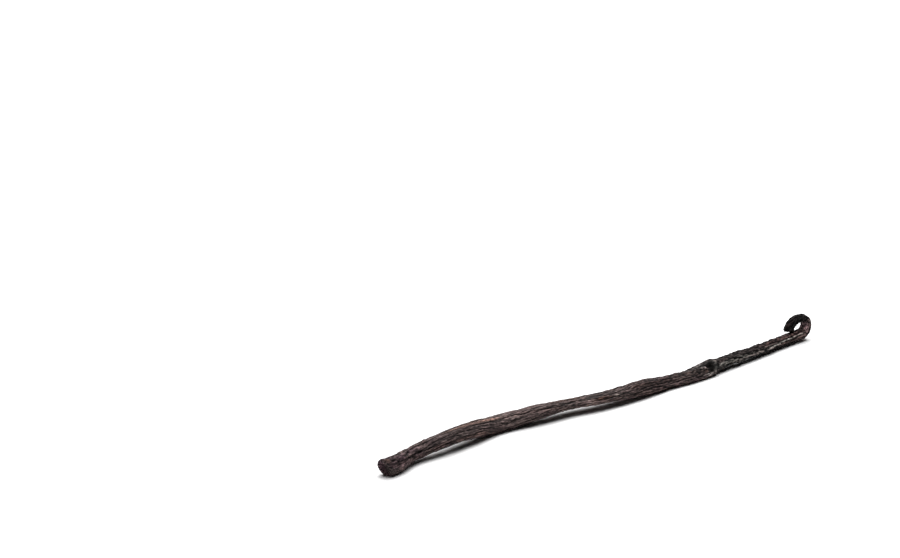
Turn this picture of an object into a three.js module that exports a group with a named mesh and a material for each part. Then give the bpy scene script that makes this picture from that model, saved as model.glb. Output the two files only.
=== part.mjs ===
// A cured vanilla pod: one solid, lying as it would on a table.
// Millimetres, +Z up. The pod lies along X, with its blunt blossom end at -X and its
// curled stalk at +X. The origin is on the table, under the middle of the pod's box.
import * as THREE from "three";

// ---- driving sizes ----

const LYING = 182.6; // length of the part that lies down, before the stalk curls up
const AROUND = 36; // facets round the pod
const BODY_STEP = 2.8; // length of a facet along the pod
const FINE_STEP = 1.1; // the same where the form changes quickly, ...
const QUICK = { end: 10, knuckle: 9, curl: 3 }; // ... within these distances of each place
const FIRST_RING = 1; // the first full ring of facets behind the blossom end's rim
const SETTLED = 0.12; // how far the soft pod has flattened where it lies on the table

// Key cross-sections. at: distance from the blossom end, bow: how far the middle line lies
// to the +Y side, gap: air under the pod, wide and high: size across and upwards.
const SECTIONS = [
  { name: "blossom rim", at: 0, bow: -1.2, gap: 0, wide: 4.8, high: 5.9 },
  { name: "end swelling", at: 4, bow: -0.9, gap: 0, wide: 5.4, high: 5.8 },
  { name: "neck", at: 12, bow: 1.4, gap: 1.0, wide: 4.9, high: 4.5 },
  { name: "shoulder", at: 26, bow: 1.8, gap: 2.0, wide: 5.4, high: 4.9 },
  { name: "rise of first belly", at: 38, bow: 2.9, gap: 1.5, wide: 6.1, high: 5.0 },
  { name: "first belly", at: 50, bow: 4.5, gap: 0, wide: 6.8, high: 5.0 },
  { name: "end of first belly", at: 64, bow: 2.0, gap: 1.6, wide: 6.4, high: 4.1 },
  { name: "waist", at: 76, bow: 0.7, gap: 2.3, wide: 6.4, high: 2.5 },
  { name: "end of waist", at: 90, bow: -1.9, gap: 1.9, wide: 6.5, high: 2.8 },
  { name: "second belly", at: 104, bow: -2.8, gap: 0.8, wide: 6.3, high: 4.5 },
  { name: "end of second belly", at: 118, bow: -2.5, gap: 0.1, wide: 6.0, high: 3.6 },
  { name: "taper", at: 128, bow: -3.4, gap: 0, wide: 5.7, high: 4.0 },
  { name: "knuckle", at: 135, bow: -2.8, gap: 0, wide: 5.5, high: 4.3 },
  { name: "stalk root", at: 142, bow: -2.7, gap: 0.9, wide: 4.8, high: 3.7 },
  { name: "stalk", at: 158, bow: -1.8, gap: 1.0, wide: 4.4, high: 3.1 },
  { name: "rise of stalk", at: 173, bow: -0.6, gap: 0.8, wide: 4.2, high: 3.2 },
  { name: "end of lying stalk", at: LYING, bow: -0.2, gap: 1.0, wide: 4.1, high: 3.2 },
];

// The curl: the stalk winds up and back over itself, in an upright spiral that opens.
const CURL = {
  turn: THREE.MathUtils.degToRad(268),
  startRadius: 2.3,
  endRadius: 4.4,
  drift: 1.6, // sideways by its end, so that it clears the stalk
};
CURL.opening = (CURL.endRadius - CURL.startRadius) / CURL.turn; // radius gained per radian
CURL.length = ((CURL.startRadius + CURL.endRadius) / 2) * CURL.turn;

// Cross-sections of the curl. at: share of its length.
const CURL_SECTIONS = [
  { at: 0, wide: 4.1, high: 3.2 },
  { at: 0.3, wide: 3.8, high: 2.8 },
  { at: 0.7, wide: 3.4, high: 2.0 },
  { at: 1, wide: 3.3, high: 3.3 }, // the flared scar where the stalk broke off
];

// The knuckle between pod and stalk: a collar that swells slowly and ends abruptly,
// with a hollow on its upper side and a boss beside the hollow.
const COLLAR = { at: 136.6, skew: -0.7, swell: 7, fall: 1.2, height: 0.6 };
const HOLLOW = { at: 133.6, angle: 118, along: 1.5, across: 24, height: -0.9 };
const BOSS = { at: 136.6, angle: 158, along: 1.3, across: 24, height: 0.35 };

// The blossom end is cut off askew: its rim reaches furthest at the far side and the top.
const SLANT = { side: 0.3, top: 0.3, fades: 6 };

// Broad folds along the skin. lobes: how many round the pod, height: crest over middle,
// wander: how far a fold strays round the pod, over: the length in which it does so.
const FOLDS = [
  { lobes: 3, height: 0.09, phase: 0.6, wander: 0.5, over: 71 },
  { lobes: 5, height: 0.1, phase: 2.1, wander: 0.9, over: 53 },
  { lobes: 8, height: 0.09, phase: 4.4, wander: 1.3, over: 37 },
];
const FOLDS_START = 3; // the rim itself is smooth
const FOLDS_FULL = 14;

// The skin's outline from the middle of the blossom cup to the middle of the stalk's scar.
// Each pair is the share of the local cross-section and the distance along the pod.
const BLOSSOM_CUP = [
  [0, 1.3],
  [0.22, 1.2],
  [0.42, 0.9],
  [0.56, 0.4],
  [0.68, 0.05],
  [0.8, -0.1],
  [0.93, 0],
  [1, 0.35],
];
const STALK_SCAR = [
  [1, -0.45],
  [0.93, -0.12],
  [0.75, 0],
  [0.5, -0.05],
  [0, -0.25],
];

// ---- the middle line ----

// A smooth curve through the named value of the key sections.
function smooth(sections, key, at) {
  const last = sections.length - 1;
  const slope = (i) =>
    (sections[i + 1][key] - sections[i][key]) / (sections[i + 1].at - sections[i].at);
  const span = (i) => sections[i + 1].at - sections[i].at;
  const tangent = (i) => {
    if (i === 0) return slope(0);
    if (i === last) return slope(last - 1);
    return (slope(i - 1) * span(i) + slope(i) * span(i - 1)) / (span(i - 1) + span(i));
  };
  let i = 0;
  while (i < last - 1 && at >= sections[i + 1].at) i++;
  const h = span(i);
  const t = (at - sections[i].at) / h;
  return (
    (2 * t ** 3 - 3 * t ** 2 + 1) * sections[i][key] +
    (t ** 3 - 2 * t ** 2 + t) * h * tangent(i) +
    (3 * t ** 2 - 2 * t ** 3) * sections[i + 1][key] +
    (t ** 3 - t ** 2) * h * tangent(i + 1)
  );
}

// Where the middle line lies at a distance along the lying part.
function lyingPoint(at) {
  const height = smooth(SECTIONS, "gap", at) + smooth(SECTIONS, "high", at) / 2 - SETTLED;
  return new THREE.Vector3(at, smooth(SECTIONS, "bow", at), height);
}

// The middle line's point with its three directions: forward, side (+Y) and up.
function lyingFrame(at) {
  const step = 0.02;
  const ahead = Math.min(at + step, LYING);
  const forward = lyingPoint(ahead).sub(lyingPoint(ahead - 2 * step)).normalize();
  const side = new THREE.Vector3(0, 0, 1).cross(forward).normalize();
  const up = forward.clone().cross(side);
  return { point: lyingPoint(at), forward, side, up };
}

// The same on the curl. The spiral's radius grows evenly with the angle turned.
function curlFrame(along) {
  const { startRadius: r, opening: k } = CURL;
  const { point: foot, forward: out, side, up: rise } = lyingFrame(LYING);
  const a = (Math.sqrt(r * r + 2 * k * along) - r) / k; // angle turned
  const across = r * Math.sin(a) + k * (Math.cos(a) + a * Math.sin(a) - 1);
  const above = r * (1 - Math.cos(a)) + k * (Math.sin(a) - a * Math.cos(a));
  const share = along / CURL.length;
  const point = foot
    .clone()
    .addScaledVector(out, across)
    .addScaledVector(rise, above)
    .addScaledVector(side, CURL.drift * share * share);
  const forward = out.clone().multiplyScalar(Math.cos(a)).addScaledVector(rise, Math.sin(a));
  const up = rise.clone().multiplyScalar(Math.cos(a)).addScaledVector(out, -Math.sin(a));
  return { point, forward, side: up.clone().cross(forward), up };
}

function frameAt(at) {
  return at > LYING ? curlFrame(Math.min(at - LYING, CURL.length)) : lyingFrame(at);
}

function sizeAt(at) {
  const sections = at > LYING ? CURL_SECTIONS : SECTIONS;
  const place = at > LYING ? Math.min((at - LYING) / CURL.length, 1) : at;
  return { wide: smooth(sections, "wide", place), high: smooth(sections, "high", place) };
}

// ---- the relief of the skin ----

const bell = (x, width) => Math.exp(-((x / width) ** 2));

function collarHeight(at, angle) {
  const past = at - (COLLAR.at - COLLAR.skew * Math.sin(angle));
  return COLLAR.height * bell(past, past < 0 ? COLLAR.swell : COLLAR.fall);
}

// A local hollow or boss. Its place round the pod is in degrees: 90 is the top, 180 is -Y.
function spotHeight(spot, at, angle) {
  const turned = THREE.MathUtils.radToDeg(angle) - spot.angle;
  const apart = THREE.MathUtils.euclideanModulo(turned + 180, 360) - 180;
  return spot.height * bell(at - spot.at, spot.along) * bell(apart, spot.across);
}

function foldHeight(at, angle) {
  const grown = THREE.MathUtils.smoothstep(at, FOLDS_START, FOLDS_FULL);
  const turn = (fold) =>
    fold.lobes * angle + fold.phase + fold.wander * Math.sin((2 * Math.PI * at) / fold.over);
  return grown * FOLDS.reduce((sum, fold) => sum + fold.height * Math.cos(turn(fold)), 0);
}

function relief(at, angle) {
  return (
    collarHeight(at, angle) +
    spotHeight(HOLLOW, at, angle) +
    spotHeight(BOSS, at, angle) +
    foldHeight(at, angle)
  );
}

// ---- the solid ----

// A point of the skin: distance along the pod, angle round it, share of the cross-section.
// Where the pod would sink into the table it is flattened, so it rests on small flats.
function skinPoint(at, angle, share) {
  const { point, forward, side, up } = frameAt(at);
  const { wide, high } = sizeAt(at);
  const raised = relief(at, angle);
  const across = (wide / 2 + raised) * Math.cos(angle) * share;
  const above = (high / 2 + raised) * Math.sin(angle) * share;
  const slant = THREE.MathUtils.clamp(1 - at / SLANT.fades, 0, 1) ** 2;
  const result = point
    .clone()
    .addScaledVector(side, across)
    .addScaledVector(up, above)
    .addScaledVector(forward, -slant * (SLANT.side * across + SLANT.top * above));
  result.z = Math.max(result.z, 0);
  return result;
}

// Distances of the rings of facets along the skin, closer where the form changes quickly.
function ringPlaces(start, end) {
  const quick = (at) =>
    at < QUICK.end || Math.abs(at - COLLAR.at) < QUICK.knuckle || at > LYING - QUICK.curl;
  const places = [];
  for (let at = start; at < end; at += quick(at) ? FINE_STEP : BODY_STEP) places.push(at);
  return places;
}

// The pod is turned straight on the Y axis first, with its half-size as 1 all along, ...
function straightPod() {
  const tip = LYING + CURL.length;
  const cup = BLOSSOM_CUP.map(([share, at]) => new THREE.Vector2(share, at));
  const scar = STALK_SCAR.map(([share, at]) => new THREE.Vector2(share, tip + at));
  const body = ringPlaces(FIRST_RING, scar[0].y - FINE_STEP / 2).map(
    (at) => new THREE.Vector2(1, at)
  );
  return new THREE.LatheGeometry([...cup, ...body, ...scar], AROUND);
}

// ... and each point of it is then carried to its place on the bent, folded skin.
function bentPod() {
  const geometry = straightPod();
  const places = geometry.attributes.position;
  for (let i = 0; i < places.count; i++) {
    const [x, y, z] = [places.getX(i), places.getY(i), places.getZ(i)];
    const moved = skinPoint(y, Math.atan2(x, z), Math.hypot(x, z));
    places.setXYZ(i, moved.x, moved.y, moved.z);
  }
  geometry.computeVertexNormals();
  return geometry;
}

const skin = new THREE.MeshStandardMaterial({ color: 0x3b2f2c, roughness: 0.55, metalness: 0 });
const geometry = bentPod();
geometry.computeBoundingBox();
const middle = geometry.boundingBox.getCenter(new THREE.Vector3());
geometry.translate(-middle.x, -middle.y, -geometry.boundingBox.min.z);
const pod = new THREE.Mesh(geometry, skin);
pod.name = "pod";

const vanillaPod = new THREE.Group();
vanillaPod.add(pod);
export default vanillaPod;
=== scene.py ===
"""A cured vanilla pod that lies on a white studio floor.

The pod is one skin: a grid of points, each given by its distance along the pod, its angle
round it and, at the two ends, its share of the way from the middle line out to the side.
Distances and sizes are in millimetres until the mesh is made, angles in radians unless a
comment says degrees. At 90 degrees is the top of the pod, at 180 the side that faces -Y.
"""

import collections
import itertools
import math

import bpy
import numpy as np
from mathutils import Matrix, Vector


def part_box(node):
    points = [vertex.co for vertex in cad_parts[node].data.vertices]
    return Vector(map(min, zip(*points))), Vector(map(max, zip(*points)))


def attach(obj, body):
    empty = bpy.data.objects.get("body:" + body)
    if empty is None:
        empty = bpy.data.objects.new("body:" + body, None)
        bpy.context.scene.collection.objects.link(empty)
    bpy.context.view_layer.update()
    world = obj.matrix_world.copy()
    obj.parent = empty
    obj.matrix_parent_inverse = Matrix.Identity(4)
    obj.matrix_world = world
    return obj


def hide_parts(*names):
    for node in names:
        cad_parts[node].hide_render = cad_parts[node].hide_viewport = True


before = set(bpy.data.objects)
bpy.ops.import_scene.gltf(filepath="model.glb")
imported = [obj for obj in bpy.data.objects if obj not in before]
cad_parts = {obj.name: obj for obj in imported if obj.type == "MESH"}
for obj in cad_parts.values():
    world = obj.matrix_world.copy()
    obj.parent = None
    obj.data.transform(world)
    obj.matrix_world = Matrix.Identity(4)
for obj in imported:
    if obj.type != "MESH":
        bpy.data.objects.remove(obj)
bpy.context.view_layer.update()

MM = 0.001
TURN = 2 * math.pi

# ---- the pod's form, as in the CAD model ----

LYING = 182.6  # length of the part that lies down, before the stalk curls up
SETTLED = 0.12  # how far the soft pod has flattened where it lies on the floor

# at: distance from the blossom end, bow: how far the middle line lies to the +Y side,
# gap: air under the pod, wide and high: size across and upwards
SECTIONS = [
    dict(name="blossom rim", at=0, bow=-1.2, gap=0, wide=4.8, high=5.9),
    dict(name="end swelling", at=4, bow=-0.9, gap=0, wide=5.4, high=5.8),
    dict(name="neck", at=12, bow=1.4, gap=1.0, wide=4.9, high=4.5),
    dict(name="shoulder", at=26, bow=1.8, gap=2.0, wide=5.4, high=4.9),
    dict(name="rise of first belly", at=38, bow=2.9, gap=1.5, wide=6.1, high=5.0),
    dict(name="first belly", at=50, bow=4.5, gap=0, wide=6.8, high=5.0),
    dict(name="end of first belly", at=64, bow=2.0, gap=1.6, wide=6.4, high=4.1),
    dict(name="waist", at=76, bow=0.7, gap=2.3, wide=6.4, high=2.5),
    dict(name="end of waist", at=90, bow=-1.9, gap=1.9, wide=6.5, high=2.8),
    dict(name="second belly", at=104, bow=-2.8, gap=0.8, wide=6.3, high=4.5),
    dict(name="end of second belly", at=118, bow=-2.5, gap=0.1, wide=6.0, high=3.6),
    dict(name="taper", at=128, bow=-3.4, gap=0, wide=5.7, high=4.0),
    dict(name="knuckle", at=135, bow=-2.8, gap=0, wide=5.5, high=4.3),
    dict(name="stalk root", at=142, bow=-2.7, gap=0.9, wide=4.8, high=3.7),
    dict(name="stalk", at=158, bow=-1.8, gap=1.0, wide=4.4, high=3.1),
    dict(name="rise of stalk", at=173, bow=-0.6, gap=0.8, wide=4.2, high=3.2),
    dict(name="end of lying stalk", at=LYING, bow=-0.2, gap=1.0, wide=4.1, high=3.2),
]

# The stalk curls up and back over itself, in an upright spiral that opens.
CURL_TURN = math.radians(268)
CURL_START_RADIUS = 2.3
CURL_END_RADIUS = 4.4
CURL_DRIFT = 1.6  # sideways by its end, so that it clears the stalk
CURL_OPENING = (CURL_END_RADIUS - CURL_START_RADIUS) / CURL_TURN
CURL_LENGTH = (CURL_START_RADIUS + CURL_END_RADIUS) / 2 * CURL_TURN
TIP = LYING + CURL_LENGTH

# at: share of the curl's length
CURL_SECTIONS = [
    dict(at=0, wide=4.1, high=3.2),
    dict(at=0.3, wide=3.8, high=2.8),
    dict(at=0.7, wide=3.4, high=2.0),
    dict(at=1, wide=3.3, high=3.3),
]

COLLAR = dict(at=136.6, skew=-0.7, swell=7, fall=1.2, height=0.6)
HOLLOW = dict(at=133.6, angle=118, along=1.5, across=24, height=-0.9)
BOSS = dict(at=136.6, angle=158, along=1.3, across=24, height=0.35)
SLANT_SIDE, SLANT_TOP, SLANT_FADES = 0.3, 0.3, 6.0

FOLDS = [
    dict(lobes=3, height=0.09, phase=0.6, wander=0.5, over=71),
    dict(lobes=5, height=0.1, phase=2.1, wander=0.9, over=53),
    dict(lobes=8, height=0.09, phase=4.4, wander=1.3, over=37),
]
FOLDS_START, FOLDS_FULL = 3.0, 14.0

# The outline from the middle of the blossom cup to its rim, and from the side of the stalk's
# tip to the middle of its scar: share of the local cross-section, and distance along the pod
BLOSSOM_CUP = [
    (0, 1.3),
    (0.22, 1.2),
    (0.42, 0.9),
    (0.56, 0.4),
    (0.68, 0.05),
    (0.8, -0.1),
    (0.93, 0),
    (1, 0.35),
]
STALK_SCAR = [(1, -0.45), (0.93, -0.12), (0.75, 0), (0.5, -0.05), (0, -0.25)]

# ---- the mesh ----

AROUND = 160  # points round the pod
COARSE_STEP = 0.43  # between rings, where the skin changes slowly
FINE_STEP = 0.25  # the same near the blossom end, the knuckle and the curl, ...
FINE_END, FINE_KNUCKLE, FINE_CURL = 18, 9, 4  # ... within these distances of them
CAP_RINGS = 4  # rings between two points of the cup's or the scar's outline

# ---- noise and other helpers ----

Skin = collections.namedtuple("Skin", "at angle share")


def lattice_noise(points, seed):
    """Smooth noise, mostly within -1 and 1, at each of an array of points."""
    random = np.random.default_rng(seed)
    order = random.permutation(256)
    slopes = random.normal(size=(256, 3))
    slopes /= np.linalg.norm(slopes, axis=1, keepdims=True)
    cell = np.floor(points).astype(int)
    local = points - cell
    eased = local**3 * (local * (local * 6 - 15) + 10)
    total = np.zeros(points.shape[:-1])
    for corner in itertools.product((0, 1), repeat=3):
        i = (cell + corner) & 255
        pick = order[(order[(order[i[..., 0]] + i[..., 1]) & 255] + i[..., 2]) & 255]
        weight = np.prod(np.where(corner, eased, 1 - eased), axis=-1)
        total += weight * np.sum(slopes[pick] * (local - corner), axis=-1)
    return total * 1.6


def skin_noise(skin, around, along, seed):
    """Noise with about so many bumps round the pod, each so many millimetres long."""
    radius = around / TURN * skin.share
    x, y = radius * np.cos(skin.angle), radius * np.sin(skin.angle)
    return lattice_noise(np.stack([x, y, skin.at / along], axis=-1), seed)


def bell(x, width):
    return np.exp(-((x / width) ** 2))


def ease(x, start, end):
    """Goes smoothly from 0 at start to 1 at end."""
    t = np.clip((x - start) / (end - start), 0, 1)
    return t * t * (3 - 2 * t)


def apart(angle, degrees):
    """How many degrees an angle lies past another one, between -180 and 180."""
    return (np.degrees(angle) - degrees + 180) % 360 - 180


# ---- the middle line ----


def smooth(sections, key, at):
    """A smooth curve through the named value of the key sections."""
    places = np.array([s["at"] for s in sections], float)
    values = np.array([s[key] for s in sections], float)
    span = np.diff(places)
    slope = np.diff(values) / span
    middle = (slope[:-1] * span[1:] + slope[1:] * span[:-1]) / (span[:-1] + span[1:])
    tangent = np.concatenate([slope[:1], middle, slope[-1:]])
    i = np.clip(np.searchsorted(places, at, side="right") - 1, 0, len(span) - 1)
    h = span[i]
    t = (at - places[i]) / h
    return (
        (2 * t**3 - 3 * t**2 + 1) * values[i]
        + (t**3 - 2 * t**2 + t) * h * tangent[i]
        + (3 * t**2 - 2 * t**3) * values[i + 1]
        + (t**3 - t**2) * h * tangent[i + 1]
    )


def unit(v):
    return v / np.maximum(np.linalg.norm(v, axis=-1, keepdims=True), 1e-9)


def lying_point(at):
    height = smooth(SECTIONS, "gap", at) + smooth(SECTIONS, "high", at) / 2 - SETTLED
    return np.stack([at, smooth(SECTIONS, "bow", at), height], axis=-1)


def lying_frame(at):
    """The middle line's points with their directions: forward, side (+Y) and up."""
    step = 0.02
    ahead = np.minimum(at + step, LYING)
    forward = unit(lying_point(ahead) - lying_point(ahead - 2 * step))
    side = unit(np.cross((0, 0, 1), forward))
    return lying_point(at), forward, side, np.cross(forward, side)


def curl_frame(along):
    """The same on the curl. The spiral's radius grows evenly with the angle turned."""
    r, k = CURL_START_RADIUS, CURL_OPENING
    foot, out, side, rise = (part[0] for part in lying_frame(np.array([LYING])))
    a = ((np.sqrt(r * r + 2 * k * along) - r) / k)[..., None]
    across = r * np.sin(a) + k * (np.cos(a) + a * np.sin(a) - 1)
    above = r * (1 - np.cos(a)) + k * (np.sin(a) - a * np.cos(a))
    share = (along / CURL_LENGTH)[..., None]
    point = foot + out * across + rise * above + side * CURL_DRIFT * share**2
    forward = out * np.cos(a) + rise * np.sin(a)
    up = rise * np.cos(a) - out * np.sin(a)
    return point, forward, np.cross(up, forward), up


def frame_at(at):
    on_curl = (at > LYING)[..., None]
    lying = lying_frame(np.minimum(at, LYING))
    curled = curl_frame(np.clip(at - LYING, 0, CURL_LENGTH))
    return [np.where(on_curl, c, l) for c, l in zip(curled, lying)]


def size_at(at, key):
    share = np.clip((at - LYING) / CURL_LENGTH, 0, 1)
    lying = smooth(SECTIONS, key, np.minimum(at, LYING))
    return np.where(at > LYING, smooth(CURL_SECTIONS, key, share), lying)


# ---- the broad relief, as in the CAD model ----


def collar_height(skin):
    past = skin.at - (COLLAR["at"] - COLLAR["skew"] * np.sin(skin.angle))
    return COLLAR["height"] * bell(past, np.where(past < 0, COLLAR["swell"], COLLAR["fall"]))


def spot_shape(spot, skin):
    """1 in the middle of a spot and 0 far from it. across is in degrees."""
    away = bell(apart(skin.angle, spot["angle"]), spot["across"])
    return bell(skin.at - spot["at"], spot["along"]) * away


def fold_height(skin):
    total = 0
    for fold in FOLDS:
        stray = fold["wander"] * np.sin(TURN * skin.at / fold["over"])
        turned = fold["lobes"] * skin.angle + fold["phase"] + stray
        total = total + fold["height"] * np.cos(turned)
    return ease(skin.at, FOLDS_START, FOLDS_FULL) * total


def broad_relief(skin):
    spots = sum(spot["height"] * spot_shape(spot, skin) for spot in (HOLLOW, BOSS))
    return collar_height(skin) + fold_height(skin) + spots


def plain_point(skin):
    """A point of the skin before the fine relief."""
    point, forward, side, up = frame_at(skin.at)
    raised = broad_relief(skin)
    across = (size_at(skin.at, "wide") / 2 + raised) * np.cos(skin.angle) * skin.share
    above = (size_at(skin.at, "high") / 2 + raised) * np.sin(skin.angle) * skin.share
    slant = np.clip(1 - skin.at / SLANT_FADES, 0, 1) ** 2
    tilt = -slant * (SLANT_SIDE * across + SLANT_TOP * above)
    return point + side * across[..., None] + up * above[..., None] + forward * tilt[..., None]


# ---- the fine relief ----

# Creases that run along the skin. around: how many in a turn, along: length, depth: of a
# groove, width: share of the space between two grooves that slopes down into them
CREASES = [
    dict(around=8, along=60, depth=0.12, width=0.4, seed=10),
    dict(around=11, along=28, depth=0.13, width=0.5, seed=11),
    dict(around=20, along=14, depth=0.18, width=0.45, seed=12),
    dict(around=34, along=5, depth=0.2, width=0.6, seed=13),
    dict(around=60, along=2.2, depth=0.11, width=0.7, seed=14),
]

# How strong each kind of relief is along the pod. lines: creases along the skin, rings:
# creases across it, lumps: uneven swellings, flutes: the even ridges of the stalk
TEXTURE = [
    dict(at=0, lines=0.4, rings=0.7, lumps=0.3),
    dict(at=3, lines=0.5, rings=1.2, lumps=0.5),
    dict(at=8, lines=0.7, rings=1.2, lumps=0.9),
    dict(at=16, lines=0.9, rings=0.9, lumps=0.7),
    dict(at=28, lines=1.0, rings=0.4, lumps=0.3),
    dict(at=95, lines=1.0, rings=0.5, lumps=0.4),
    dict(at=116, lines=1.1, rings=0.7, lumps=0.6),
    dict(at=131, lines=0.9, rings=1.2, lumps=1.0),
    dict(at=137, lines=0.5, rings=0.6, lumps=0.7),
    dict(at=144, lines=0.7, rings=0.8, lumps=1.1, flutes=0.3),
    dict(at=160, lines=0.6, rings=0.6, lumps=1.1, flutes=0.8),
    dict(at=170, lines=0.6, rings=0.5, lumps=0.8, flutes=1.0),
    dict(at=182, lines=0.6, rings=0.9, lumps=0.7, flutes=0.9),
    dict(at=189, lines=0.5, rings=1.3, lumps=0.7, flutes=0.4),
    dict(at=TIP, lines=0.5, rings=1.0, lumps=0.6, flutes=0.3),
]

# The skin's colour and painted shade along the pod. rust, olive and plum: how far it takes on
# that colour, top: how much darker the upper side is, on the stalk its own colour and on the
# body painted shade that evens out the overhead light, under: how much darker the lower side
# is, painted shade, dark: the same all round, mottle: strength of the smallest light and dark
# spots and of the painted glints, spots: of larger ones
TINTS_AND_PAINTED_SHADE = [
    dict(at=0, rust=0.2, olive=0.5, plum=0.9, top=0.1, mottle=0.6),
    dict(at=3, rust=0.4, olive=0.2, plum=0.6, top=0.3, mottle=0.8),
    dict(at=8, rust=0.3, olive=0.2, plum=0.6, mottle=1.1),
    dict(at=16, rust=0.3, olive=0.2, plum=0.4, under=0.2, mottle=1.0),
    dict(at=28, rust=0.8, olive=0.3, top=0.1, under=0.3, mottle=0.8),
    dict(at=54, rust=0.7, olive=0.2, top=-0.3, under=0.3, mottle=0.8),
    dict(at=75, rust=0.8, olive=0.2, top=0.2, mottle=0.9),
    dict(at=95, rust=0.9, olive=0.2, top=0.1, mottle=1.1),
    dict(at=108, rust=0.7, olive=0.2, plum=0.2, top=0.5, mottle=1.2),
    dict(at=116, rust=0.6, plum=0.3, top=0.9, under=1.0, mottle=1.3, spots=1.2),
    dict(at=131, rust=0.3, olive=0.5, plum=0.3, top=0.9, mottle=1.7, spots=1.2),
    dict(at=137, rust=0.1, olive=1.0, top=0.7, under=0.6, mottle=1.4, spots=0.5),
    dict(at=144, olive=0.7, top=1.4, under=1.5, mottle=1.8, spots=3.2),
    dict(at=160, olive=0.5, top=1.4, under=2.2, mottle=1.8, spots=3.2),
    dict(at=170, rust=0.7, top=1.1, under=2.6, mottle=1.8, spots=2.8),
    dict(at=182, rust=0.5, top=0.3, under=0.8, mottle=1.6, spots=1.8),
    dict(at=186, rust=0.2, plum=0.5, dark=-1.2, mottle=1.6, spots=1.8),
    dict(at=189, rust=0.2, plum=0.5, dark=0.4, mottle=1.8, spots=2.2),
    dict(at=191.5, olive=0.6, plum=0.3, dark=2.4, mottle=2.0, spots=2.4),
    dict(at=TIP, olive=1.0, dark=2.0, mottle=2.0, spots=2.4),
]
SLOW_STRAY, QUICK_STRAY = 0.5, 0.1  # how far the creases run to and fro, in radians
CREASE_MEAN, CREASE_RANGE = 0.8, 0.6  # how their depth varies from place to place
RING_DEPTH, RING_WIDTH, RING_STRAY = 0.2, 0.55, 0.5  # the creases across the pod
RING_MEAN, RING_RANGE = 0.7, 0.7
GRAIN_HEIGHT = 0.06
LUMP_HEIGHT, SMALL_LUMPS = 0.26, 0.5  # the small ones' height is a share of the broad ones'
SPOT_HEIGHT = 0.07  # the larger dark spots are hollows, the light ones crests
FLUTES, FLUTE_DEPTH, FLUTE_STRAY = 11, 0.2, 0.35
FLUTE_CREST, CUP_FOLD_CREST = 0.8, 0.7  # powers: the lower, the broader the crests
CRIMP_PITCH, CRIMP_DEPTH = 0.95, 0.16  # the folds across the inner side of the curl
CRIMP_STRAY = 0.5
CRIMP_INNER = (-0.3, 0.9)  # sine of the angle where they start and are full
CRIMP_STARTS, CRIMP_FULL = LYING - 1, LYING + 4
CUP_FOLDS, CUP_FOLD_DEPTH = 13, 0.2  # the folds that run in over the blossom cup's lip
CUP_FOLD_STRAY, CUP_FOLD_SHARE, CUP_FOLD_REACH = 0.5, 0.75, 0.25
CUP_ENDS = 1.6  # distance along the pod by which the cup has ended
LIP_AT, LIP_HEIGHT, LIP_WIDTH, LIP_RANGE = 0.2, 0.13, 0.5, 0.9  # the lip itself
FIBRE_HEIGHT = 0.16  # the broken fibres on the stalk's scar
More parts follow.
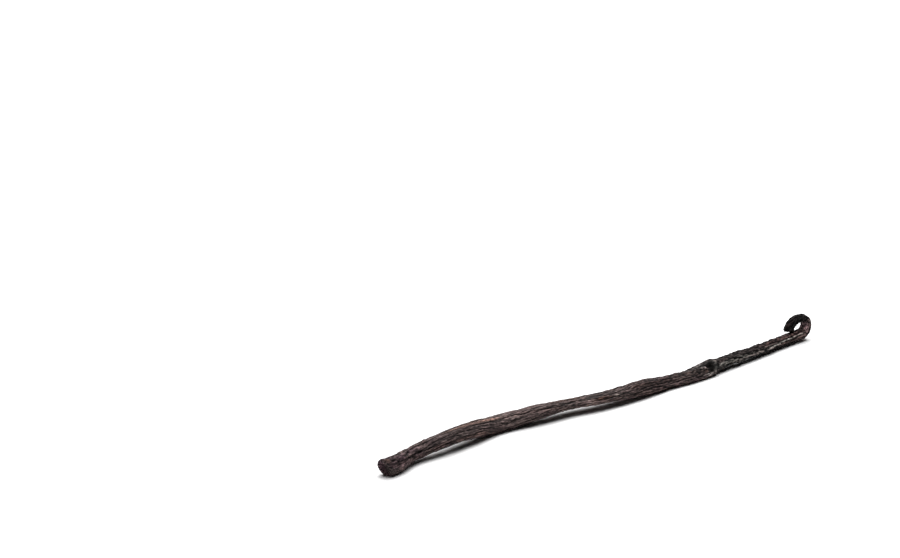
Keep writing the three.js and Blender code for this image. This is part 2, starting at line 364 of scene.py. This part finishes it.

# Bumps, pits and coloured spots: where, how large along the pod and round it (in degrees).
# shade: lighter or darker, which is painted shade on the pits, furrows, hollows and steps and
# painted highlight on the knuckle's bright bumps; rust, olive and plum: how far the skin takes on
# that colour
MARKS = [
    dict(name="corner of the rim", at=0.2, angle=70, along=0.9, across=22, height=0.2),
    dict(name="plum rim", at=0, angle=20, along=1.2, across=60, plum=1.0),
    dict(name="rust by the rim", at=0.8, angle=114, along=0.7, across=16, rust=1.0),
    dict(name="pale arc", at=1.4, angle=160, along=0.4, across=26, height=0.06, shade=1),
    # painted shade in the split of the rim
    dict(name="split rim", at=2.3, angle=124, along=0.6, across=11, height=-0.3, shade=-1.2),
    dict(name="pale ring", at=3.1, angle=138, along=0.4, across=26, height=0.08, shade=0.7),
    # painted shade in the ring furrow
    dict(name="ring furrow", at=3.8, angle=146, along=0.4, across=22, height=-0.2, shade=-1),
    dict(name="next pale ring", at=4.8, angle=166, along=0.5, across=34, height=0.08, shade=0.8),
    dict(name="pale cheek", at=4.2, angle=180, along=2.4, across=26, shade=0.9),
    dict(name="plum spot", at=5.3, angle=128, along=0.8, across=14, plum=1.0),
    dict(name="neck bump", at=7.2, angle=100, along=0.9, across=14, height=0.18, shade=1.6),
    # painted shade in the three pits below; the neck pit's plum is the skin's own colour
    dict(name="neck pit", at=9.4, angle=116, along=1, across=12, height=-0.22, shade=-2, plum=1),
    dict(name="deep pit", at=10.6, angle=170, along=0.9, across=12, height=-0.3, shade=-3),
    dict(name="small pit", at=14.4, angle=160, along=0.9, across=10, height=-0.2, shade=-2.4),
    dict(name="pale patch", at=14.9, angle=120, along=2.2, across=13, height=0.1, shade=1.4),
    # painted shade in the shoulder pit
    dict(name="shoulder pit", at=29.3, angle=154, along=1.0, across=9, height=-0.15, shade=-0.8),
    dict(name="waist patch", at=81.9, angle=146, along=3, across=17, height=0.06, shade=3.6),
    # painted shade in the waist furrow
    dict(name="waist furrow", at=85.2, angle=128, along=0.7, across=18, height=-0.1, shade=-1.5),
    dict(name="waist rust", at=87.4, angle=140, along=2.6, across=17, rust=1.2, shade=-2.8),
    dict(name="brown of the waist", at=86.3, angle=136, along=0.9, across=9, rust=1.2, shade=2.2),
    dict(name="waist crest", at=92.8, angle=138, along=1.4, across=7, height=0.12, shade=1.8),
    dict(name="grey of the crest", at=92.8, angle=138, along=1.6, across=9, olive=0.8),
    # painted highlights: the four bumps below are painted lighter where light catches them
    dict(name="knuckle bump", at=130, angle=80, along=0.7, across=14, height=0.2, shade=2.4),
    dict(name="next bump", at=131.7, angle=76, along=0.6, across=13, height=0.2, shade=2.7),
    dict(name="third bump", at=133.3, angle=74, along=0.6, across=13, height=0.16, shade=2.4),
    dict(name="last bump", at=135.2, angle=78, along=0.7, across=13, shade=2.4),
    dict(name="olive edge", at=132, angle=86, along=3, across=24, olive=1.0),
    # painted shade in the hollow and its left end
    dict(name="painted shade of the hollow", at=134.2, angle=120, along=1.2, across=30, height=-0.5, shade=-6),
    dict(name="its left end", at=132.6, angle=102, along=0.8, across=12, height=-0.2, shade=-5),
    # painted highlights on the bright and the paler bump
    dict(name="bright bump", at=131.8, angle=124, along=0.6, across=11, height=0.3, shade=5.5),
    dict(name="paler bump", at=130.2, angle=114, along=0.6, across=10, height=0.2, shade=3.4),
    dict(name="grey of the bumps", at=131.2, angle=119, along=1.4, across=14, olive=1.0),
    # painted shade in the eye of the knuckle and in the red hollow, whose red is the skin's own
    # colour
    dict(name="eye of the knuckle", at=133.8, angle=158, along=1, across=15, height=-0.3, shade=-5),
    dict(name="red hollow", at=131.2, angle=148, along=1.0, across=12, rust=0.8, shade=-1.4),
    dict(name="pale lid", at=135.5, angle=174, along=0.6, across=22, height=0.25, shade=4.2),
    dict(name="lower lid", at=133.3, angle=188, along=1.2, across=9, height=0.16, shade=3.8),
    dict(name="end of the lid", at=130.9, angle=176, along=1.2, across=8, height=0.14, shade=2.4),
    dict(name="grey of the lids", at=132.5, angle=184, along=2.4, across=14, olive=1.0),
    dict(name="upper lump", at=136.8, angle=118, along=1.1, across=22, height=0.1, shade=2.2),
    dict(name="olive of lumps", at=136.3, angle=138, along=2.4, across=46, olive=1.0),
    # painted shadow along the step from the knuckle to the stalk, in the three marks below
    dict(name="step", at=138.7, angle=118, along=0.45, across=18, height=-0.2, shade=-3),
    dict(name="side step", at=137.6, angle=144, along=0.45, across=16, height=-0.3, shade=-4),
    dict(name="low step", at=136.8, angle=176, along=0.5, across=20, height=-0.3, shade=-4),
    dict(name="pale root", at=139.2, angle=150, along=0.9, across=14, height=0.14, shade=1.4),
    dict(name="pale elbow", at=181, angle=138, along=1.6, across=16, height=0.15, shade=0.4),
    dict(name="grey of the ridge", at=175, angle=152, along=8, across=16, olive=1.0),
    dict(name="foot of the curl", at=183.5, angle=95, along=3, across=42, height=0.45),
    dict(name="heel of the curl", at=186.8, angle=262, along=2.8, across=60, height=0.55),
    dict(name="crown of the curl", at=193.5, angle=90, along=3, across=50, height=0.4),
    dict(name="thick tip", at=197.3, angle=90, along=2.6, across=60, height=0.35),
]

# Marks that run along the skin. start and end: distance and angle, width: in degrees.
# Where a groove (height below 0) is made darker by shade, that is painted shade.
STREAKS = [
    dict(start=(24, 94), end=(47, 111), width=8, height=0.08, rust=0.7, shade=0.3),
    # painted shade: the next five grooves are painted darker
    dict(start=(25, 110), end=(48, 128), width=5, height=-0.14, shade=-1.2),
    dict(start=(6, 154), end=(22, 172), width=7, height=-0.12, shade=-0.4),
    dict(start=(52, 118), end=(74, 142), width=5, height=-0.12, shade=-0.4),
    dict(start=(78, 112), end=(96, 150), width=5, height=-0.12, rust=0.6, shade=-0.3),
    dict(start=(96, 178), end=(132, 148), width=6, height=-0.16, shade=-0.4),
    dict(start=(100, 150), end=(130, 134), width=5, height=-0.12, rust=0.4),
    dict(start=(104, 128), end=(129, 112), width=5, height=-0.1, rust=0.4),
    dict(start=(162, 104), end=(180, 122), width=20, plum=0.5, rust=0.5),
    dict(start=(139, 158), end=(166, 164), width=20, height=0.05, shade=1.8, olive=0.6),
    dict(start=(164, 172), end=(182, 150), width=10, shade=0.9, olive=0.7),
    dict(start=(166, 166), end=(182, 138), width=9, height=0.12, shade=2.9),
    dict(start=(160, 140), end=(178, 122), width=5, height=0.06, shade=1.0),
]
STREAK_FADES = 3.0  # a streak starts and ends over this length on either side of its ends
STREAK_WOBBLE = 4  # degrees
MEAN_REACH = 20  # rings on either side over which the mean depth of the creases is taken


def strength(key, skin, table=TEXTURE):
    return np.interp(skin.at, [row["at"] for row in table], [row.get(key, 0) for row in table])


def tint_and_shade_strength(key, skin):
    return strength(key, skin, TINTS_AND_PAINTED_SHADE)


def strayed(skin):
    """The creases run to and fro round the pod, so they follow this angle."""
    slow = skin_noise(skin, around=2, along=34, seed=21)
    quick = skin_noise(skin, around=5, along=7, seed=22)
    return skin._replace(angle=skin.angle + SLOW_STRAY * slow + QUICK_STRAY * quick)


def larger_spots(skin):
    """Above 0 on light spots and below 0 on dark ones. Both the relief and the colour use it."""
    return skin_noise(strayed(skin), around=15, along=1.1, seed=70) * tint_and_shade_strength("spots", skin)


def groove(noise, width):
    """0 on the plateau between grooves and -1 in a groove, which runs where noise is 0."""
    return -((1 - np.minimum(np.abs(noise) / width, 1)) ** 2)


def line_height(skin):
    turned = strayed(skin)
    total = 0
    for crease in CREASES:
        noise = skin_noise(turned, crease["around"], crease["along"], crease["seed"])
        patchy = skin_noise(skin, around=3, along=16, seed=crease["seed"] + 20)
        fading = CREASE_MEAN + CREASE_RANGE * patchy
        total = total + crease["depth"] * fading * groove(noise, crease["width"])
    return total * strength("lines", skin)


def ring_height(skin):
    stray = RING_STRAY * skin_noise(skin, around=6, along=4, seed=31)
    wavy = skin._replace(at=skin.at + stray)
    folds = RING_DEPTH * groove(skin_noise(wavy, around=5, along=1.1, seed=32), RING_WIDTH)
    grain = GRAIN_HEIGHT * skin_noise(skin, around=26, along=0.8, seed=33)
    patchy = RING_MEAN + RING_RANGE * skin_noise(skin, around=4, along=6, seed=34)
    return (folds * patchy + grain) * strength("rings", skin)


def lump_height(skin):
    broad = skin_noise(skin, around=5, along=4.5, seed=35)
    small = skin_noise(skin, around=9, along=2, seed=36)
    return LUMP_HEIGHT * (broad + SMALL_LUMPS * small) * strength("lumps", skin)


def flute_height(skin):
    stray = FLUTE_STRAY * skin_noise(skin, around=2, along=9, seed=41)
    ridge = np.abs(np.sin(FLUTES / 2 * (skin.angle + stray))) ** FLUTE_CREST - 1
    return FLUTE_DEPTH * ridge * strength("flutes", skin)


def crimp_height(skin):
    """The skin is pressed into folds on the inner side of the curl."""
    stray = CRIMP_STRAY * skin_noise(skin, around=5, along=3, seed=42)
    place = skin.at / CRIMP_PITCH + stray
    inner = ease(np.sin(skin.angle), *CRIMP_INNER) * ease(skin.at, CRIMP_STARTS, CRIMP_FULL)
    return CRIMP_DEPTH * inner * (0.5 - np.cos(math.pi * place) ** 2)


def end_height(skin):
    """The lip and the folds of the blossom cup, and the broken fibres of the stalk's scar."""
    stray = CUP_FOLD_STRAY * skin_noise(skin, around=4, along=2, seed=43)
    fold = np.abs(np.sin(CUP_FOLDS / 2 * (skin.angle + stray))) ** CUP_FOLD_CREST - 1
    on_cup = ease(skin.at, CUP_ENDS, LIP_AT)
    folds = CUP_FOLD_DEPTH * fold * bell(skin.share - CUP_FOLD_SHARE, CUP_FOLD_REACH) * on_cup
    uneven = 1 + LIP_RANGE * skin_noise(skin, around=6, along=2, seed=44)
    lip = LIP_HEIGHT * bell(skin.at - LIP_AT, LIP_WIDTH) * ease(skin.share, 0.8, 1) * uneven
    fibres = FIBRE_HEIGHT * skin_noise(skin, around=22, along=1, seed=45)
    fibres = fibres * ease(skin.at, TIP - 0.5, TIP - 0.2)
    return folds + lip + fibres


def mark_field(key, skin):
    """The sum of one value of all marks and streaks."""
    total = sum(mark.get(key, 0) * spot_shape(mark, skin) for mark in MARKS)
    wobble = STREAK_WOBBLE * skin_noise(skin, around=1, along=4, seed=51)
    for streak in STREAKS:
        (start, first), (end, last) = streak["start"], streak["end"]
        middle = np.interp(skin.at, [start, end], [first, last]) + wobble
        fading = ease(skin.at, start - STREAK_FADES, start + STREAK_FADES)
        fading = fading * ease(skin.at, end + STREAK_FADES, end - STREAK_FADES)
        shape = fading * bell(apart(skin.angle, middle), streak["width"])
        total = total + streak.get(key, 0) * shape
    return total


def slow_mean(relief):
    """The mean of the relief round the pod, smoothed along it."""
    padded = np.pad(relief.mean(axis=1), MEAN_REACH, mode="edge")
    window = np.ones(2 * MEAN_REACH + 1) / (2 * MEAN_REACH + 1)
    return np.convolve(padded, window, mode="valid")[:, None]


def fine_relief(skin):
    """The creases go as far into the pod as the crests between them stand out."""
    creases = line_height(skin) + ring_height(skin) + flute_height(skin)
    even = creases - slow_mean(creases) + crimp_height(skin) + lump_height(skin)
    even = even + SPOT_HEIGHT * larger_spots(skin)
    return even + end_height(skin) + mark_field("height", skin)


# ---- the skin's colour ----

SKIN = (0.0455, 0.0312, 0.0298)
RUST = (0.067, 0.037, 0.0285)
OLIVE = (0.0395, 0.037, 0.0338)
PLUM = (0.041, 0.0238, 0.0284)
STRAW = (0.16, 0.125, 0.085)  # the broken fibres of the stalk's scar
LIGHTEST = 1.6  # how light the light spots get: the natural logarithm of the factor
DEEPER = 1.4  # how much further the dark spots go
FINE_REACH, FINE_HEIGHT = 6, 0.05  # of the small crests and grooves, for crest_level
BROAD_REACH, BROAD_HEIGHT = 20, 0.15  # ... and of the broader ones
FINE_SHADE, BROAD_SHADE = 0.45, 0.3  # painted shade: how much lighter their crests and darker their grooves are
STREAK_SHADE, PATCH_SHADE = 0.3, 0.3
# painted shade and light: how much the marks' shade counts, and how much lighter the cup floor is
# painted against the shade in its hollow
MARK_SHADE, CUP_SHADE = 0.5, 0.5
RUST_SHARE, STRAW_SHARE = 0.55, 0.7  # how far the skin takes on these two at most
DARK_DULLS = 0.5  # how much less oily a dark mark makes the skin


def blend(colour, other, amount):
    amount = np.clip(amount, 0, 1)[..., None]
    return colour * (1 - amount) + np.array(other) * amount


def crest_level(relief, reach, height):
    """How far a point stands over its surroundings, from about -2 in grooves to 1 on crests.

    reach: points on either side that count as surroundings, height: that counts as 1.
    """
    shifts = range(-reach, reach + 1)
    around = sum(np.roll(relief, shift, axis=1) for shift in shifts) / len(shifts)
    return np.clip((relief - around) / height, -2.5, 1.5)


def fine_crest(relief):
    return crest_level(relief, FINE_REACH, FINE_HEIGHT)


def cup_floor(skin):
    """1 on the floor of the blossom cup, which is greyer and painted lighter against the shade in
    the hollow cup, and 0 elsewhere.
    """
    return ease(skin.at, CUP_ENDS, 0.4) * ease(skin.share, 0.75, 0.45)


def skin_colour(skin, turned, cup):
    """The skin's colour, before it is made lighter or darker."""
    rust = ease(skin_noise(turned, around=8, along=18, seed=64), 0.1, 0.7)
    olive = ease(skin_noise(skin, around=4, along=9, seed=65), -0.5, 0.5)
    plum = ease(skin_noise(skin, around=5, along=5, seed=66), -0.5, 0.5)
    rust = rust * tint_and_shade_strength("rust", skin)
    olive = olive * tint_and_shade_strength("olive", skin)
    plum = plum * tint_and_shade_strength("plum", skin)
    colour = blend(np.array(SKIN), OLIVE, olive + mark_field("olive", skin) + cup)
    colour = blend(colour, PLUM, plum + mark_field("plum", skin))
    colour = blend(colour, RUST, RUST_SHARE * rust + mark_field("rust", skin))
    patchy = skin_noise(skin, around=14, along=1, seed=67)
    scar = ease(skin.at, TIP - 0.3, TIP - 0.1) * ease(patchy, -0.4, 0.5)
    return blend(colour, STRAW, STRAW_SHARE * scar)


# The skin's colour with painted shade and painted highlights in it: in creases, on top and
# underside, on marks and crests.
def skin_tint_and_painted_shade(skin, relief):
    turned = strayed(skin)
    crest = fine_crest(relief)
    broad = crest_level(relief, BROAD_REACH, BROAD_HEIGHT)
    streaks = skin_noise(turned, around=26, along=16, seed=61)
    patches = skin_noise(skin, around=3, along=11, seed=62)
    flecks = skin_noise(turned, around=36, along=1.5, seed=63)
    specks = skin_noise(turned, around=24, along=0.9, seed=68)
    # painted highlights: light glints painted on the crests
    painted_glints = ease(skin_noise(turned, around=30, along=1.3, seed=69), 0.15, 0.6)
    painted_glints = painted_glints * ease(crest, 0, 1)
    # painted shade: upper darkens the top side (on the stalk the skin's own colour), lower the
    # underside
    upper = tint_and_shade_strength("top", skin) * ease(np.sin(skin.angle), -0.2, 0.9)
    lower = tint_and_shade_strength("under", skin) * ease(np.sin(skin.angle), 0.1, -0.5)
    cup = cup_floor(skin)
    # painted shade: the grooves are painted darker and the crests lighter
    shade = FINE_SHADE * crest + BROAD_SHADE * broad + STREAK_SHADE * streaks
    shade = shade + PATCH_SHADE * patches + larger_spots(skin)
    shade = shade + (flecks + specks + painted_glints) * tint_and_shade_strength("mottle", skin)
    shade = np.where(shade > 0, LIGHTEST * np.tanh(shade / LIGHTEST), DEEPER * shade)
    shade = shade - upper - lower - tint_and_shade_strength("dark", skin)
    # the marks' shade, painted shade or highlight on some, and the cup floor painted lighter
    # against its shade
    shade = shade + MARK_SHADE * mark_field("shade", skin) + CUP_SHADE * cup
    return skin_colour(skin, turned, cup) * np.exp(shade)[..., None]


def oily(skin, relief):
    """How oily the skin is: low and dull in creases and dark hollows, high on crests."""
    darkened = np.minimum(mark_field("shade", skin), 0) - tint_and_shade_strength("dark", skin)
    darkened = darkened + np.minimum(larger_spots(skin), 0)
    return fine_crest(relief) + DARK_DULLS * darkened


# ---- the skin as a grid of points ----


def outline_rings(outline, offset):
    """(share, at) of the rings along a smooth curve through the points of an outline."""
    knots = [dict(at=i, share=s, place=p) for i, (s, p) in enumerate(outline)]
    steps = np.linspace(0, len(outline) - 1, (len(outline) - 1) * CAP_RINGS + 1)
    shares, places = smooth(knots, "share", steps), smooth(knots, "place", steps)
    return [(share, place + offset) for share, place in zip(shares, places)]


def ring_places():
    """(share, at) of every ring, from the middle of the cup to the middle of the scar."""
    cup, scar = outline_rings(BLOSSOM_CUP, 0), outline_rings(STALK_SCAR, TIP)
    body, at = [], cup[-1][1] + FINE_STEP
    while at < scar[0][1] - FINE_STEP / 2:
        body.append((1.0, at))
        by_knuckle = abs(at - COLLAR["at"]) < FINE_KNUCKLE
        fine = at < FINE_END or by_knuckle or at > LYING - FINE_CURL
        at += FINE_STEP if fine else COARSE_STEP
    return np.array(cup + body + scar)


def make_skin():
    """The skin's coordinates, the relief on it and its points, all as grids of rings."""
    share, at = ring_places().T
    angle = np.arange(AROUND) * TURN / AROUND
    skin = Skin(*np.broadcast_arrays(at[:, None], angle[None, :], share[:, None]))
    plain = plain_point(skin)
    across = np.roll(plain, -1, axis=1) - np.roll(plain, 1, axis=1)
    normal = unit(np.cross(across, np.gradient(plain, axis=0)))
    relief = fine_relief(skin)
    points = plain + normal * relief[..., None]
    low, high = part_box("pod")
    middle = (plain.min((0, 1)) + plain.max((0, 1))) / 2
    points += ((np.array(low) + np.array(high)) / 2 / MM - middle) * (1, 1, 0)
    points[..., 2] = np.maximum(points[..., 2], 0)
    return skin, relief, points


# ---- the mesh ----

STRIPS = 3  # the unrolled skin lies in the UV map as so many strips, side by side
STRIP_MARGIN = 0.01


def per_vertex(grid):
    """A grid's values in the order of the vertices: each end ring is a single vertex."""
    inner = grid[1:-1].reshape(-1, *grid.shape[2:])
    return np.concatenate([grid[:1, 0], inner, grid[-1:, 0]])


def skin_faces(rings):
    """The faces, and for each of their corners the ring and how far round it lies."""
    last = 1 + (rings - 2) * AROUND

    def vertex(ring, step):
        if ring == 0:
            return 0
        return last if ring == rings - 1 else 1 + (ring - 1) * AROUND + step % AROUND

    faces, corners = [], []
    for ring in range(rings - 1):
        for step in range(AROUND):
            corner = [(ring, step), (ring, step + 1), (ring + 1, step + 1), (ring + 1, step)]
            if ring == 0:
                corner = [(0, step + 0.5)] + corner[2:]
            elif ring == rings - 2:
                corner = corner[:2] + [(rings - 1, step + 0.5)]
            faces.append([vertex(*place) for place in corner])
            corners.append(corner)
    return faces, corners


def unrolled(corners, points):
    """UV coordinates of the corners, at one scale all over."""
    steps = np.linalg.norm(np.diff(points, axis=0), axis=-1).mean(axis=1)
    run = np.concatenate([[0], np.cumsum(steps)])
    limits = np.searchsorted(run, np.linspace(0, run[-1], STRIPS + 1)[1:-1])
    limits = np.concatenate([[0], limits, [len(run) - 1]])
    inside = 1 - 2 * STRIP_MARGIN
    places = []
    for corner in corners:
        ring = min(place[0] for place in corner)
        strip = int(np.searchsorted(limits, ring, side="right")) - 1
        start, length = run[limits[strip]], run[limits[strip + 1]] - run[limits[strip]]
        for r, step in corner:
            u = STRIP_MARGIN + inside * step / AROUND
            places.append(((strip + u) / STRIPS, STRIP_MARGIN + inside * (run[r] - start) / length))
    return np.array(places)


def add_values(mesh, name, kind, field, grid):
    values = mesh.attributes.new(name, kind, "POINT")
    values.data.foreach_set(field, per_vertex(grid).astype(np.float32).ravel())


def make_pod(material):
    skin, relief, points = make_skin()
    faces, corners = skin_faces(len(points))
    mesh = bpy.data.meshes.new("vanilla_pod")
    mesh.from_pydata((per_vertex(points) * MM).tolist(), [], faces)
    unwrapped = mesh.uv_layers.new(name="OFBake")
    unwrapped.data.foreach_set("uv", unrolled(corners, points).astype(np.float32).ravel())
    places = np.stack([np.cos(skin.angle), np.sin(skin.angle), skin.at], axis=-1)
    places[..., :2] *= GRAIN_RADIUS * skin.share[..., None]
    # the skin's colour, with painted shade and painted glints in it
    tint_and_painted_shade = skin_tint_and_painted_shade(skin, relief)
    add_values(mesh, "skin", "FLOAT_VECTOR", "vector", places)
    add_values(mesh, "oily", "FLOAT", "value", oily(skin, relief))
    add_values(mesh, "tint_and_painted_shade", "FLOAT_COLOR", "color", np.dstack([tint_and_painted_shade, np.ones_like(relief)]))
    mesh.materials.append(material)
    mesh.shade_smooth()
    pod = bpy.data.objects.new("vanilla_pod", mesh)
    bpy.context.scene.collection.objects.link(pod)
    return pod


# ---- materials ----

GRAIN_RADIUS = 3.0  # of the pod, in the coordinates that the fine grain follows
GRAIN_STRETCH = 0.22  # the grain is longer along the pod
BUMP_DEPTH = 0.00012  # metres
SHEEN = 0.1  # how strongly the skin reflects
NOISE_RANGE, PATCH_RANGE = (0.3, 0.7), (0.35, 0.65)  # where most of a noise's values lie
OILY_RANGE, ROUGHNESS_RANGE = (-1.5, 1.2), (0.95, 0.36)  # from dull to oily
STREAK_WEAR, PORE_WEAR = (0.3, 1.75), (0.6, 1.4)  # factors of the colour
PATCH_DULLNESS, STREAK_DULLNESS = (0.88, 1.15), (1.1, 0.9)  # factors of the roughness
FLOOR_COLOUR, FLOOR_ROUGHNESS, FLOOR_SHEEN = (0.9, 0.9, 0.9, 1), 0.9, 0.2


def node(tree, kind, inputs=None, **settings):
    """Adds a node. inputs: values or sockets by the socket's name or number."""
    made = tree.nodes.new(kind)
    for key, value in settings.items():
        setattr(made, key, value)
    for key, value in (inputs or {}).items():
        if isinstance(value, bpy.types.NodeSocket):
            tree.links.new(value, made.inputs[key])
        else:
            made.inputs[key].default_value = value
    return made


def skin_material():
    """Dark cured skin: matte in the creases, with an oily sheen on the crests. Its colour comes
    with painted shade and painted glints in it.
    """
    material = bpy.data.materials.new("pod_skin")
    material.use_nodes = True
    tree = material.node_tree
    shader = tree.nodes["Principled BSDF"]

    def attribute(name, output):
        return node(tree, "ShaderNodeAttribute", attribute_name=name).outputs[output]

    def grain(scale, detail, stretch):
        scales = {"Vector": attribute("skin", "Vector"), "Scale": (scale, scale, scale * stretch)}
        places = node(tree, "ShaderNodeMapping", scales).outputs["Vector"]
        inputs = {"Vector": places, "Scale": 1.0, "Detail": detail, "Roughness": 0.6}
        return node(tree, "ShaderNodeTexNoise", inputs).outputs["Fac"]

    def ranged(value, start, end):
        """Brings the value from one (lowest, highest) to another."""
        limits = {"Value": value, "From Min": start[0], "From Max": start[1]}
        limits.update({"To Min": end[0], "To Max": end[1]})
        return node(tree, "ShaderNodeMapRange", limits).outputs["Result"]

    def times(a, b):
        return node(tree, "ShaderNodeMath", {0: a, 1: b}, operation="MULTIPLY").outputs[0]

    streaky = grain(scale=3.2, detail=3.0, stretch=GRAIN_STRETCH)
    pores = grain(scale=5.0, detail=2.0, stretch=0.8)
    patches = grain(scale=0.5, detail=2.0, stretch=0.4)
    by_streaks = ranged(streaky, NOISE_RANGE, STREAK_WEAR)
    worn = times(by_streaks, ranged(pores, NOISE_RANGE, PORE_WEAR))
    colour = {"Vector": attribute("tint_and_painted_shade", "Color"), "Scale": worn}
    colour = node(tree, "ShaderNodeVectorMath", colour, operation="SCALE").outputs["Vector"]
    tree.links.new(colour, shader.inputs["Base Color"])
    shader.inputs["Specular IOR Level"].default_value = SHEEN
    dull = ranged(attribute("oily", "Fac"), OILY_RANGE, ROUGHNESS_RANGE)
    by_patches = ranged(patches, PATCH_RANGE, PATCH_DULLNESS)
    uneven = times(by_patches, ranged(streaky, NOISE_RANGE, STREAK_DULLNESS))
    tree.links.new(times(dull, uneven), shader.inputs["Roughness"])
    height = node(tree, "ShaderNodeMath", {0: streaky, 1: pores}, operation="ADD").outputs[0]
    bump = {"Height": height, "Strength": 1.0, "Distance": BUMP_DEPTH}
    tree.links.new(node(tree, "ShaderNodeBump", bump).outputs["Normal"], shader.inputs["Normal"])
    return material


def floor_material():
    material = bpy.data.materials.new("studio_white")
    material.use_nodes = True
    shader = material.node_tree.nodes["Principled BSDF"]
    shader.inputs["Base Color"].default_value = FLOOR_COLOUR
    shader.inputs["Roughness"].default_value = FLOOR_ROUGHNESS
    shader.inputs["Specular IOR Level"].default_value = FLOOR_SHEEN
    return material


# ---- studio ----

FLOOR_REACH = 4.0  # metres
DIM_ROOM = 0.01  # how much light the room gives, beside its lamps; it looks white itself
CAMERA_TURN = -38.3  # degrees: 0 looks along +Y
CAMERA_ELEVATION = 20.0
CAMERA_DISTANCE = 900.0
CAMERA_LENS = 96.0
CAMERA_SENSOR = 36.0
LOOK_AT = (32.5, 124.3, 0)


def direction(turn, elevation):
    """From the object towards a place that is turned so far from the -Y side, and so high."""
    t, e = math.radians(turn), math.radians(elevation)
    return Vector((math.sin(t) * math.cos(e), -math.cos(t) * math.cos(e), math.sin(e)))


def make_camera():
    back = direction(CAMERA_TURN, CAMERA_ELEVATION)
    camera = bpy.data.objects.new("camera", bpy.data.cameras.new("camera"))
    camera.data.lens = CAMERA_LENS
    camera.data.sensor_width = CAMERA_SENSOR
    camera.location = (Vector(LOOK_AT) + back * CAMERA_DISTANCE) * MM
    camera.rotation_euler = (-back).to_track_quat("-Z", "Y").to_euler()
    bpy.context.scene.collection.objects.link(camera)
    bpy.context.scene.camera = camera


def make_light(name, turn, elevation, distance, size, power):
    """A square softbox that faces the pod. turn is counted from the camera."""
    way = direction(CAMERA_TURN + turn, elevation)
    data = bpy.data.lights.new(name, "AREA")
    data.shape = "SQUARE"
    data.size = size
    data.energy = power
    light = bpy.data.objects.new(name, data)
    light.location = way * distance
    light.rotation_euler = (-way).to_track_quat("-Z", "Y").to_euler()
    bpy.context.scene.collection.objects.link(light)


def make_floor():
    mesh = bpy.data.meshes.new("floor")
    signs = [(-1, -1), (1, -1), (1, 1), (-1, 1)]
    mesh.from_pydata([(x * FLOOR_REACH, y * FLOOR_REACH, 0) for x, y in signs], [], [range(4)])
    mesh.materials.append(floor_material())
    floor = bpy.data.objects.new("floor", mesh)
    bpy.context.scene.collection.objects.link(floor)


def make_room():
    world = bpy.data.worlds.new("studio")
    bpy.context.scene.world = world
    world.use_nodes = True
    tree = world.node_tree
    shine = tree.nodes["Background"]
    shine.inputs["Color"].default_value = (1, 1, 1, 1)
    seen = node(tree, "ShaderNodeLightPath").outputs["Is Camera Ray"]
    shown = node(tree, "ShaderNodeMapRange", {"Value": seen, "To Min": DIM_ROOM, "To Max": 1.0})
    tree.links.new(shown.outputs["Result"], shine.inputs["Strength"])


pod = make_pod(skin_material())
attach(pod, "root")
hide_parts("pod")
make_floor()
make_room()
make_light("overhead", turn=180, elevation=74, distance=1.0, size=1.25, power=27.5)
make_camera()
bpy.context.scene.view_settings.view_transform = "Standard"
